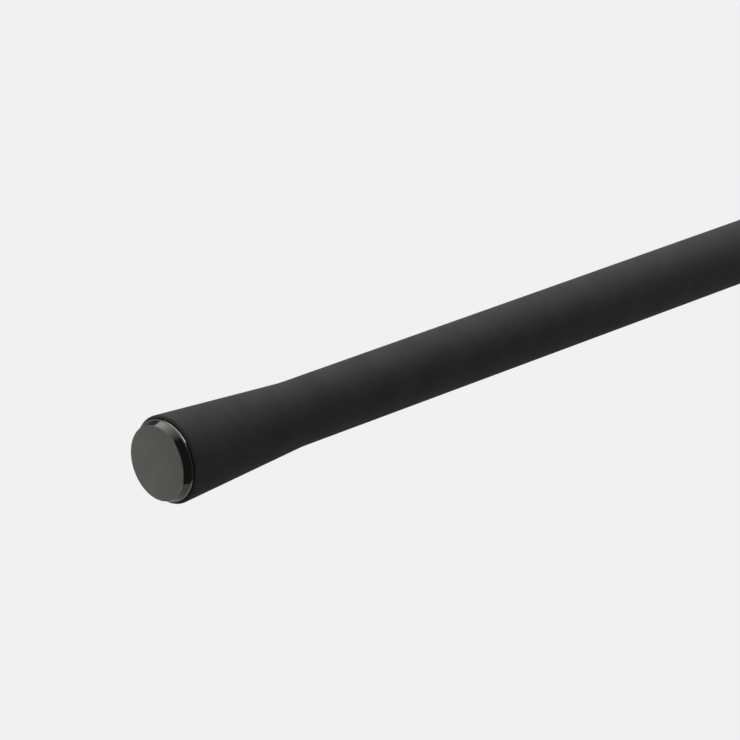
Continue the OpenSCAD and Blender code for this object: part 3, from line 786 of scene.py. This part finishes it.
def make_moving_hood():
    """The hood that slides on the barrel, with its key, and the rim that the nut snaps over."""
    low, high = box_mm("moving_hood")
    mouth = high.x
    floor = mouth - POCKET_DEPTH
    shoulder = floor - MOVING_FLOOR
    rear = low.x + RIM_LENGTH + NECK_LENGTH
    key = math.atan2(KEY_HALF, KEY_Z)
    angles = even_and([key, key + FLANK, TURN - key, TURN - key - FLANK])
    bevel = 0.3

    def bore(x, a):
        if min(a, TURN - a) <= key + ANGLE_ERROR and x < shoulder:
            return KEY_Z / math.cos(a)
        return RUNNING_R

    rings = hood_rings(mouth, shoulder, rear, angles)
    for x, r in (
        (rear, NECK_R), (low.x + RIM_LENGTH, NECK_R), (low.x + RIM_LENGTH, RIM_R),
        (low.x + bevel, RIM_R), (low.x, RIM_R - bevel)
    ):
        rings.append(ring(x, r, angles))
    for x in (low.x, shoulder - STEP_HALF, shoulder, floor):
        rings.append(ring(x, bore, angles))
    rings += pocket_rings(floor, mouth, angles, RUNNING_R)
    shape = stack(rings, closed=True)
    piece("moving_hood_moulded", shape, "reel_hood", NYLON, "moving_hood")


def make_sleeve(node, body):
    """A polished sleeve round a hood."""
    low, high = box_mm(node)
    outer = high.z + POCKET_DROP
    shape = lathe(rounded([
        (low.x, HOOD_R - SUNK),
        (low.x, outer, 0.25),
        (high.x, outer, 0.25),
        (high.x, HOOD_R - SUNK),
    ]), 192, closed=True, drop=POCKET_DROP)
    piece(node + "_polished", shape, body, POLISHED_METAL, node, sharp=35)


def make_liner(node, body):
    """A pad on the floor of a pocket, with its long edges and ends softened."""
    low, high = box_mm(node)
    inner = POCKET_R - LINER_THICKNESS
    level = -POCKET_DROP - high.z
    wide, narrow = math.acos(level / POCKET_R), math.acos(level / inner)
    steps = 40
    over = [math.pi - wide + 2 * wide * k / steps for k in range(steps + 1)]
    back = [math.pi + narrow - 2 * narrow * k / steps for k in range(steps + 1)]
    soft, first = 0.25, 0.07
    rings = []
    for x, less in (
        (low.x, soft), (low.x + first, first), (low.x + soft, 0),
        (high.x - soft, 0), (high.x - first, first), (high.x, soft)
    ):
        rings.append(
            ring(x, POCKET_R, over, POCKET_DROP) + ring(x, inner + less, back, POCKET_DROP)
        )
    piece(node + "_pad", stack(rings), body, RUBBER, node, sharp=35)


def make_nut():
    """The fluted nut, with the groove that snaps over the hood's rim, and its metal ring. The
    flutes are cylinders beside the nut, which run out over their last millimetre."""
    low, high = box_mm("lock_nut")
    ring_end = low.x + NUT_RING_LENGTH
    first, last = ring_end + FLUTE_MARGIN, high.x - FLUTE_MARGIN
    centre = NUT_R + FLUTE_R - FLUTE_DEPTH
    points_a_flute = 20
    angles = even_angles(NUT_FLUTES * points_a_flute)

    def surface(outer):
        def radius(x, a):
            off = (a * NUT_FLUTES / TURN + 0.5) % 1 - 0.5
            side = centre * math.sin(off * TURN / NUT_FLUTES)
            past = max(first + 1 - x, x - (last - 1), 0)
            reach = FLUTE_R * FLUTE_R - side * side
            if past >= 1 or reach <= 0:
                return outer
            depth = FLUTE_R - FLUTE_DEPTH * (1 - math.sqrt(1 - past * past))
            inside = depth * depth - side * side
            if inside <= 0:
                return outer
            return min(outer, centre - math.sqrt(inside))
        return radius

    outline = rounded([
        (ring_end, NUT_RING_SEAT_R),
        (ring_end, NUT_R, 0.3),
        (high.x, NUT_R, 0.5),
        (high.x, NECK_R + SNAP_GAP),
    ])[1:-1]
    places = [(x, r) for x, r in outline if x < first]
    run_out = [0, 0.06, 0.15, 0.3, 0.5, 0.75, 1]
    places += [(first + past, NUT_R) for past in run_out]
    places += [(last - past, NUT_R) for past in run_out[::-1]]
    places += [(x, r) for x, r in outline if x > last]
    rings = [ring(low.x, NUT_RING_SEAT_R, angles), ring(ring_end, NUT_RING_SEAT_R, angles)]
    rings += [ring(x, surface(r), angles) for x, r in places]
    thread_end = low.x + NUT_LENGTH
    lip_start = thread_end + SNAP_GAP + RIM_LENGTH + SNAP_GAP
    bevel = 0.3
    for x, r in (
        (high.x, NECK_R + SNAP_GAP + bevel), (high.x - bevel, NECK_R + SNAP_GAP),
        (lip_start, NECK_R + SNAP_GAP), (lip_start, RIM_R + SNAP_GAP),
        (thread_end, RIM_R + SNAP_GAP), (thread_end, RUNNING_R), (low.x, RUNNING_R)
    ):
        rings.append(ring(x, r, angles))
    piece("lock_nut_fluted", stack(rings, closed=True), "lock_nut", NYLON, "lock_nut")

    low, high = box_mm("lock_nut_ring")
    shape = lathe(rounded([
        (low.x, NUT_RING_SEAT_R),
        (low.x, high.z, 0.5),
        (high.x, high.z, 0.3),
        (high.x, NUT_RING_SEAT_R),
    ]), 192, closed=True)
    piece("lock_nut_ring_polished", shape, "lock_nut", POLISHED_METAL, "lock_nut_ring")


# Whippings


def wrap_share(x, start, end):
    """The share of its full thickness that a whipping has at x. It runs out in a thin edge."""
    near = min(x - start, end - x) / WRAP_RUN
    return WRAP_EDGE + (1 - WRAP_EDGE) * math.sin(math.pi / 2 * min(1, max(0, near)))


def wrap_places(start, end, extra):
    """Where a whipping has rings: along the run out at both ends, and at the extra places."""
    shares = [0, 0.1, 0.2, 0.32, 0.45, 0.6, 0.8, 1]
    places = [start + WRAP_RUN * s for s in shares] + [end - WRAP_RUN * s for s in shares]
    return sorted(set(places) | {x for x in extra if start < x < end})


def wrapped(start, end, foot=None, extra=()):
    """A whipping from start to end. foot(x) gives the half width and the height of what it
    wraps under the blank there, and the thread is drawn tight round both."""
    angles = even_angles(120)

    def surface(x, a):
        r = blank_r(x) + WRAP * wrap_share(x, start, end)
        if foot is None:
            return r
        half, height = foot(x)
        if height <= 0:
            return r
        half += 0.5 * WRAP
        side = abs(a - math.pi)
        corner = math.atan2(half, r + height)
        away = math.hypot(half, r + height)
        tangent = corner + math.acos(min(1, r / away))
        if side >= tangent:
            return r
        if side >= corner:
            return r / math.cos(tangent - side)
        return (r + height) / math.cos(side)

    places = wrap_places(start, end, extra)
    rings = [ring(x, surface, angles) for x in places]
    rings += [ring(x, blank_r(x) - SUNK, angles) for x in (end, start)]
    return stack(rings, closed=True)


def make_plain_whipping(node, body):
    """A whipping with nothing under it but the blank."""
    low, high = box_mm(node)
    shape = wrapped(low.x, high.x)
    piece(node + "_thread", shape, body, THREAD, node, sharp=45)


# Line clip


def oblong(width, thickness, count=20, power=5):
    """Points (across, through) round a strip's section, whose corners are soft."""
    points = []
    for k in range(count):
        a = TURN * (k + 0.5) / count
        c, s = math.cos(a), math.sin(a)
        across = math.copysign(abs(c) ** (2 / power), c) * width / 2
        through = math.copysign(abs(s) ** (2 / power), s) * thickness / 2
        points.append((across, through))
    return points


def round_end(left, count):
    """The share of its width that a strip has where left steps of its path are left, if it
    narrows over the last count steps."""
    return min(1, 0.55 + 0.45 * math.sqrt(max(0, left / count)))


def strip(path, widths, thicknesses, across=(0, 1, 0)):
    """A strip with a soft section along a path in millimetres."""
    rings = []
    for k, at in enumerate(path):
        before, after = path[max(0, k - 1)], path[min(len(path) - 1, k + 1)]
        way = (Vector(after) - Vector(before)).normalized()
        side = Vector(across) - way * way.dot(Vector(across))
        side.normalize()
        out = way.cross(side)
        rings.append([
            tuple((Vector(at) + side * u + out * v) * MM)
            for u, v in oblong(widths[k], thicknesses[k])
        ])
    return stack(rings)


def make_clip():
    """The sprung clip, which lies on the blank, lifts off it and turns up at its end, and the
    whipping over its fixed half."""
    low, high = box_mm("line_clip")
    length = high.x - low.x
    half = length / 2
    climb = length / 5
    tail = length / 12
    # Places along the clip, and how far it has lifted there in shares of CLIP_LIFT
    corners = [
        (0, 0), (half, 0), (half + climb / 2, 0.6), (half + climb, 1),
        (length - tail, 1), (length, 1.8),
    ]
    floor = low.z + CLIP_THICKNESS / 2
    path = []
    steps = 48
    for k in range(steps + 1):
        x = length * k / steps
        for (x0, y0), (x1, y1) in zip(corners, corners[1:]):
            if x <= x1 + LENGTH_ERROR:
                lift = y0 + (y1 - y0) * smooth((x - x0) / (x1 - x0))
                break
        z = -butt_r(low.x + x) - CLIP_THICKNESS / 2 - lift * CLIP_LIFT
        path.append((low.x + x, 0, max(z, floor)))
    width = high.y - low.y
    widths = [width * round_end(steps - k, 5) for k in range(steps + 1)]
    shape = strip(path, widths, [CLIP_THICKNESS] * len(path))
    piece("line_clip_sprung", shape, "butt_section", STEEL, "line_clip", sharp=40)

    def foot(x):
        return width / 2, CLIP_THICKNESS * smooth((x - low.x + 0.6) / 0.8)

    node = "line_clip_whipping"
    start, end = (corner.x for corner in box_mm(node))
    extra = [low.x + s for s in (-0.6, -0.4, -0.2, 0, 0.2, 0.4)]
    shape = wrapped(start, end, foot, extra)
    piece(node + "_thread", shape, "butt_section", THREAD, node, sharp=45)


# Guides


def band(station, size, wall, width, drop):
    """The round band of a guide's frame that holds its ring."""
    outer = size / 2 + wall
    edge_r = wall * 0.45
    return lathe(rounded([
        (station - width / 2, size / 2 - SUNK),
        (station - width / 2, outer, edge_r),
        (station + width / 2, outer, edge_r),
        (station + width / 2, size / 2 - SUNK),
    ], 8), 160, closed=True, drop=drop)


def ring_insert(low, high, inner, drop):
    """A ceramic ring, rounded where the line runs and flat where its band holds it."""
    soft = (high.x - low.x) / 2
    middle = (low.x + high.x) / 2
    outer = (high.z - low.z) / 2
    flat = BAND_SHARE * soft
    bevel = 0.1
    steps = 20
    outline = []
    for k in range(steps + 1):
        a = math.pi * k / steps
        outline.append((middle - soft * math.cos(a), inner + soft - soft * math.sin(a)))
    edge = math.sqrt(soft * soft - flat * flat)
    rim = [
        (middle + soft * math.cos(a), inner + soft + soft * math.sin(a))
        for a in (0.2, 0.4, math.asin(edge / soft))
    ]
    outline += rim
    outline += [(middle + flat, outer - bevel), (middle + flat - bevel, outer)]
    outline += [(middle - flat + bevel, outer), (middle - flat, outer - bevel)]
    outline += [(2 * middle - x, r) for x, r in rim[::-1]]
    return lathe(outline, 160, closed=True, drop=drop)


def guide_sizes(number):
    """A guide's measures in millimetres, from its CAD boxes and by its size."""
    frame_low, frame_high = box_mm(f"guide_{number}_frame")
    ring_low, ring_high = box_mm(f"guide_{number}_ring")
    size = GUIDE_SIZES[number - 1]
    smallest, largest = min(GUIDE_SIZES), max(GUIDE_SIZES)
    share = (size - smallest) / (largest - smallest)

    def by_size(pair):
        return pair[0] + (pair[1] - pair[0]) * share

    return SimpleNamespace(
        station=(ring_low.x + ring_high.x) / 2,
        size=size,
        wall=by_size(BAND_WALL),
        width=BAND_SHARE * (ring_high.x - ring_low.x),
        drop=-(ring_low.z + ring_high.z) / 2,
        leg=by_size(LEG_WIDTH),
        leg_thickness=by_size(LEG_THICKNESS),
        foot_half=by_size(FOOT_WIDTH) / 2,
        foot_height=by_size(FOOT_THICKNESS),
        foot_length=by_size(FOOT_LENGTH),
        front_end=frame_high.x,
        rear_end=frame_low.x,
        ring_inner=size / 2 - by_size(RING_WALL),
    )


def foot_height(g, root, end, x):
    """The height of a foot over the blank: thick at its root, thin at its end and nothing a
    little past it, where a whipping comes down to the blank."""
    t = (x - root) / (end - root)
    if t < 0:
        return g.foot_height
    thin = smooth((t - 0.25) / 0.75) if t < 1 else 1
    height = g.foot_height + (FOOT_TOE - g.foot_height) * thin
    past = abs(x - root) - g.foot_length
    if past > 0:
        height *= 1 - smooth(past / FOOT_END)
    return height


def foot_shape(g, root, end):
    """A ground foot whose underside lies on the blank."""
    rings = []
    sunk = 0.5
    steps = 16
    for k in range(steps + 1):
        x = root + (end - root) * k / steps
        width = 2 * g.foot_half * round_end(steps - k, 4)
        top = -blank_r(x) + sunk
        bottom = -blank_r(x) - foot_height(g, root, end, x)
        points = oblong(width, top - bottom, power=6)
        middle = (top + bottom) / 2
        rings.append([(x * MM, u * MM, (middle + v) * MM) for u, v in points])
    return stack(rings)


def leg_path(start, foot, way, g):
    """Straight from the band to near the foot, then bent into it along the rod."""
    start, foot = Vector(start), Vector(foot)
    bend = 2.2 * g.leg_thickness
    run = (foot - start).normalized()
    before = foot - run * bend
    after = foot + Vector((way * bend, 0, 0))
    straight, curved = 10, 8
    path = [start + (before - start) * k / straight for k in range(straight + 1)]
    for k in range(1, curved + 1):
        t = k / curved
        path.append(before * (1 - t) ** 2 + foot * 2 * t * (1 - t) + after * t * t)
    return [tuple(p) for p in path]


def make_guide(number):
    """A guide's frame, its ring and the whippings over its feet. Two splayed legs run to the
    front foot, and the guides with two feet have a third leg to the rear one."""
    g = guide_sizes(number)
    body = "butt_section" if number == 1 else "tip_section"
    station, drop = g.station, g.drop
    join = (g.size + g.wall) / 2
    shapes = [band(station, g.size, g.wall, g.width, drop)]
    lap = g.foot_height / 2
    front = g.front_end - g.foot_length
    front_z = -blank_r(front) - lap
    splay = math.acos(join / (drop + front_z))
    inset = g.leg_thickness / 2
    narrow = 0.62
    feet = [(front, g.front_end)]
    for side in (-1, 1):
        start = (station, side * join * math.sin(splay), join * math.cos(splay) - drop)
        foot = (front + inset, side * g.foot_half / 4, front_z)
        path = leg_path(start, foot, 1, g)
        last = len(path) - 1
        widths = [g.leg * (narrow + (1 - narrow) * k / last) for k in range(last + 1)]
        thicknesses = [g.leg_thickness] * len(path)
        shapes.append(strip(path, widths, thicknesses, (0, side * 0.95, 0.3)))
    if number <= TWO_FOOTED:
        rear = g.rear_end + g.foot_length
        rear_z = -blank_r(rear) - lap
        feet.append((rear, g.rear_end))
        path = leg_path((station, 0, join - drop), (rear - inset, 0, rear_z), -1, g)
        shapes.append(strip(path, [g.leg] * len(path), [g.leg_thickness] * len(path)))
    for root, end in feet:
        shapes.append(foot_shape(g, root, end))
    node = f"guide_{number}_frame"
    piece(node + "_stamped", merged(shapes), body, STEEL, node, sharp=35)

    node = f"guide_{number}_ring"
    shape = ring_insert(*box_mm(node), g.ring_inner, drop)
    piece(node + "_ceramic", shape, body, CERAMIC, node, sharp=35)

    shapes = []
    before_thread, past_foot = 0.8, 3
    for root, end in feet:
        way = 1 if end > root else -1
        bare = root + way * (g.leg_thickness + before_thread)
        outer = end + way * past_foot

        def foot(x, root=root, end=end):
            return g.foot_half, foot_height(g, root, end, x)

        steps = 12
        extra = [root + (end - root) * k / steps for k in range(steps + 1)]
        extra += [end + way * s for s in (0.2, 0.4, 0.6, 0.8, 1, FOOT_END)]
        shapes.append(wrapped(min(bare, outer), max(bare, outer), foot, extra))
    node = f"guide_{number}_whipping"
    piece(node + "_thread", merged(shapes), body, THREAD, node, sharp=45)


def make_tip_ring():
    """The tip ring: a tube over the blank's end, two legs, the band and its ceramic ring."""
    low, high = box_mm("tip_ring_insert")
    station, drop = (low.x + high.x) / 2, -(low.z + high.z) / 2
    size, wall, thick = TIP_RING_SIZE, BAND_WALL[0], LEG_THICKNESS[0]
    shapes = [band(station, size, wall, BAND_SHARE * (high.x - low.x), drop)]
    end = box_mm("tip_ring_frame")[1].x
    start = end - TIP_TUBE_LENGTH
    floor = end - TIP_TUBE_FLOOR
    sunk, pinhole = 0.02, 0.001
    shapes.append(lathe(rounded([
        (start, tip_r(start) - sunk),
        (start, TIP_TUBE_R, 0.15),
        (end, TIP_TUBE_R, 0.4),
        (end, pinhole),
        (floor, pinhole),
        (floor, tip_r(floor) - sunk),
    ]), 64, closed=True))
    join = (size + wall) / 2
    splay = math.radians(75)
    for side in (-1, 1):
        first = Vector((station, side * join * math.sin(splay), join * math.cos(splay) - drop))
        last = Vector((start + 2 * thick, side * 0.3 * TIP_TUBE_R, -0.6 * TIP_TUBE_R))
        steps = 6
        path = [tuple(first + (last - first) * k / steps) for k in range(steps + 1)]
        shapes.append(strip(path, [2 * thick] * len(path), [thick] * len(path)))
    piece("tip_ring_stamped", merged(shapes), "tip_section", STEEL, "tip_ring_frame", sharp=35)
    shape = ring_insert(low, high, size / 2 - RING_WALL[0], drop)
    piece("tip_ring_ceramic", shape, "tip_section", CERAMIC, "tip_ring_insert", sharp=35)


# Tip section


def make_tip_blank():
    """The tip section's tube, with the socket for the spigot at its lower end."""
    low, high = box_mm("tip_blank")
    past_spigot, solid_tip = 6, 8
    socket_end = box_mm("spigot")[1].x + past_spigot
    bore_end = high.x - solid_tip
    thin_wall, thick_wall = 0.7, 1.1
    shape = lathe(rounded([
        (bore_end, 0),
        (bore_end, tip_r(bore_end) - thin_wall),
        (socket_end, tip_r(socket_end) - thick_wall),
        (socket_end, SOCKET_R),
        (low.x, SOCKET_R, 0.1),
        (low.x, tip_r(low.x), 0.2),
        (high.x, tip_r(high.x)),
        (high.x, 0),
    ]), 96)
    piece("tip_blank_tube", shape, "tip_section", CARBON, "tip_blank")


make_cap()
make_grips()
make_collars()
make_butt_blank()
make_seat()
make_moving_hood()
make_sleeve("fixed_hood_sleeve", "butt_section")
make_sleeve("moving_hood_sleeve", "reel_hood")
make_liner("fixed_hood_liner", "butt_section")
make_liner("moving_hood_liner", "reel_hood")
make_nut()
make_clip()
for name in ("fore_whipping", "butt_joint_whipping"):
    make_plain_whipping(name, "butt_section")
for name in ("tip_joint_whipping", "tip_ring_whipping"):
    make_plain_whipping(name, "tip_section")
for number in range(1, 7):
    make_guide(number)
make_tip_ring()
make_tip_blank()

# The bushes, which the seat hides, keep their CAD shape
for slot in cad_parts["seat_bushes"].material_slots:
    slot.material = BUSH.material


# Stage

FLOOR_Z = -0.4
FLOOR_HALF = 60
FLOOR_GREY = 0.42
# What the floor and the world add for the rays that see the background
FLOOR_GLOW = 0.54
BACKGROUND = 0.88
FILL = 0.32


def background_rays(tree):
    """1 for the rays that see the pale background: camera, glossy and transmission rays."""
    rays = tree.nodes.new("ShaderNodeLightPath")
    seen = rays.outputs["Is Camera Ray"]
    for kind in ("Is Glossy Ray", "Is Transmission Ray"):
        either = tree.nodes.new("ShaderNodeMath")
        either.operation = "MAXIMUM"
        tree.links.new(seen, either.inputs[0])
        tree.links.new(rays.outputs[kind], either.inputs[1])
        seen = either.outputs["Value"]
    return seen


def make_floor():
    """A plain pale floor that keeps the rod's shadow."""
    corners = [(-1, -1), (1, -1), (1, 1), (-1, 1)]
    points = [(x * FLOOR_HALF, y * FLOOR_HALF, FLOOR_Z) for x, y in corners]
    floor = mesh_object("floor", (points, [(0, 1, 2, 3)]))
    f = Finish("pale_floor")
    f.set(Base_Color=(FLOOR_GREY, FLOOR_GREY, FLOOR_GREY, 1), Roughness=0.95)
    f.set(Specular_IOR_Level=0.0)
    glow = f.add("ShaderNodeEmission")
    f.link(f.math("MULTIPLY", background_rays(f.tree), FLOOR_GLOW), glow.inputs["Strength"])
    both = f.add("ShaderNodeAddShader")
    f.link(f.shader.outputs["BSDF"], both.inputs[0])
    f.link(glow.outputs["Emission"], both.inputs[1])
    f.surface(both.outputs["Shader"])
    floor.data.materials.append(f.material)


def make_world():
    """A dim even light, and the pale background for the rays that see it."""
    world = bpy.data.worlds.new("studio")
    bpy.context.scene.world = world
    world.use_nodes = True
    tree = world.node_tree
    tree.nodes.clear()
    fill = tree.nodes.new("ShaderNodeBackground")
    fill.inputs["Strength"].default_value = FILL
    pale = tree.nodes.new("ShaderNodeBackground")
    pale.inputs["Color"].default_value = (BACKGROUND, BACKGROUND, BACKGROUND, 1)
    mix = tree.nodes.new("ShaderNodeMixShader")
    out = tree.nodes.new("ShaderNodeOutputWorld")
    tree.links.new(background_rays(tree), mix.inputs["Fac"])
    tree.links.new(fill.outputs["Background"], mix.inputs[1])
    tree.links.new(pale.outputs["Background"], mix.inputs[2])
    tree.links.new(mix.outputs["Shader"], out.inputs["Surface"])


def make_sun(name, direction, strength, spread):
    """A soft light that shines from a direction, as wide as spread degrees. Reflections don't
    show it: they show the cards."""
    light = bpy.data.lights.new(name, "SUN")
    light.energy = strength
    light.angle = math.radians(spread)
    lamp = bpy.data.objects.new(name, light)
    lamp.rotation_euler = Vector(direction).to_track_quat("Z", "Y").to_euler()
    lamp.visible_glossy = False
    bpy.context.scene.collection.objects.link(lamp)


def make_card(name, glow, corners, soft=None):
    """A studio card that only reflections show. It glows evenly, or less towards its edges:
    soft is the share of its length and of its width over which the glow grows from nothing,
    for a card of four corners."""
    card = mesh_object(name, (corners, [tuple(range(len(corners)))]))
    layer = card.data.uv_layers.new(name="card")
    for loop, place in zip(layer.data, ((0, 0), (1, 0), (1, 1), (0, 1))):
        loop.uv = place
    card.visible_camera = card.visible_diffuse = card.visible_shadow = False
    card.visible_transmission = card.visible_volume_scatter = False
    f = Finish(name + "_face")
    light = f.add("ShaderNodeEmission")
    if soft:
        sides = f.add("ShaderNodeSeparateXYZ")
        f.link(f.add("ShaderNodeTexCoord").outputs["UV"], sides.inputs["Vector"])
        level = glow
        for side, share in zip("XY", soft):
            from_edge = f.math("PINGPONG", sides.outputs[side], 0.5)
            level = f.math("MULTIPLY", f.ramp(from_edge, 0, share, 0, 1), level)
        f.link(level, light.inputs["Strength"])
    else:
        light.inputs["Strength"].default_value = glow
    f.surface(light.outputs["Emission"])
    card.data.materials.append(f.material)


make_floor()
make_world()
make_sun("key_softbox", (0, 0.5, 0.87), 2, 50)

# What the cap's bevel and lip reflect. Overhead: a wide soft light for the bevel and a bright
# one for the lip's arc
make_card("softbox", 1.75, [
    (-0.3, -0.15, 0.9), (2.2, -2.4, 0.9), (2.2, 0.6, 0.9), (-0.3, 2.85, 0.9)
], (0.12, 0.43))
make_card("lip_light", 4.5, [
    (0.55, -0.95, 0.89), (1.6, -0.95, 0.89), (1.6, 1.7, 0.89), (0.55, 1.7, 0.89)
], (0.12, 0.12))
# Dark flags at the side of the bevel that faces the camera's right, below, on the far side of
# the rod, and in front of the cap
make_card("side_flag", 0.05, [
    (-0.45, -0.19, -0.24), (0.4, -0.19, -0.24), (0.4, -0.19, 0.1),
    (0.12, -0.19, 0.4), (-0.45, -0.19, 0.4)
])
make_card("low_flag", 0.35, [
    (0, -0.3, -0.3), (0.9, -0.3, -0.3), (0.9, 0.6, -0.38), (0, 0.6, -0.38)
])
make_card("far_flag", 0.13, [
    (0, 0.6, -0.39), (1.2, 0.6, -0.39), (1.2, 0.6, 0.44), (0, 0.6, 0.44)
])
make_card("front_flag", 0.1, [
    (-0.5, -0.1, -0.33), (-0.5, 0.28, -0.33), (-0.5, 0.28, 0.06), (-0.5, -0.1, 0.06)
])


def make_camera():
    """The photograph's camera, worked out from the handle's outline in it: its place, and the
    directions that are right, down and forward in its picture."""
    data = bpy.data.cameras.new("camera")
    data.sensor_width = 36
    data.lens = 180.4
    data.clip_start, data.clip_end = 0.05, 200
    camera = bpy.data.objects.new("camera", data)
    place = Vector((-0.8433, -0.9554, 0.5270))
    right = Vector((0.7072, -0.7070, 0.0))
    down = Vector((-0.2541, -0.2542, -0.9332))
    forward = Vector((0.6598, 0.6600, -0.3594))
    turn = Matrix((right, -down, -forward)).transposed()
    camera.matrix_world = Matrix.Translation(place) @ turn.to_4x4()
    bpy.context.scene.collection.objects.link(camera)
    bpy.context.scene.camera = camera


make_camera()
bpy.context.scene.view_settings.view_transform = "Standard"
